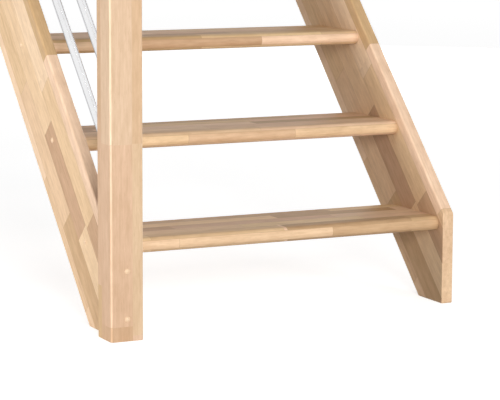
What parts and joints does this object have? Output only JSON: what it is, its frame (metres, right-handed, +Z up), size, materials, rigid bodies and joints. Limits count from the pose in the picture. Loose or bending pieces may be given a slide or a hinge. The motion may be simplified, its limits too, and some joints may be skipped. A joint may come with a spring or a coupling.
{
  "type": "open-riser wooden staircase",
  "caption": "Straight open-riser beech stair flight between two stringers, with newels, a handrail and sloping steel rods on its left side.",
  "frame": {"origin": "middle of the bottom newel's foot, on the floor", "axes": "+X across the flight to the right, +Y up the flight, +Z up"},
  "size_m": [0.9485, 1.3885, 2.4232],
  "materials": {
    "beech": "satin",
    "cap_beech": "satin",
    "stainless": "brushed"
  },
  "bodies": {
    "root": {"bottom_newel": "beech", "top_newel": "beech", "left_stringer": "beech", "right_stringer": "beech", "tread_1": "beech", "tread_2": "beech", "tread_3": "beech", "tread_4": "beech", "tread_5": "beech", "tread_6": "beech", "handrail": "beech", "rod_1": "stainless", "rod_2": "stainless", "rod_3": "stainless", "rod_4": "stainless", "newel_cap_1": "cap_beech", "newel_cap_2": "cap_beech", "left_cap_1": "cap_beech", "left_cap_2": "cap_beech", "left_cap_3": "cap_beech", "left_cap_4": "cap_beech", "left_cap_5": "cap_beech", "left_cap_6": "cap_beech", "right_cap_1": "cap_beech", "right_cap_2": "cap_beech", "right_cap_3": "cap_beech", "right_cap_4": "cap_beech", "right_cap_5": "cap_beech", "right_cap_6": "cap_beech"}
  },
  "joints": []
}
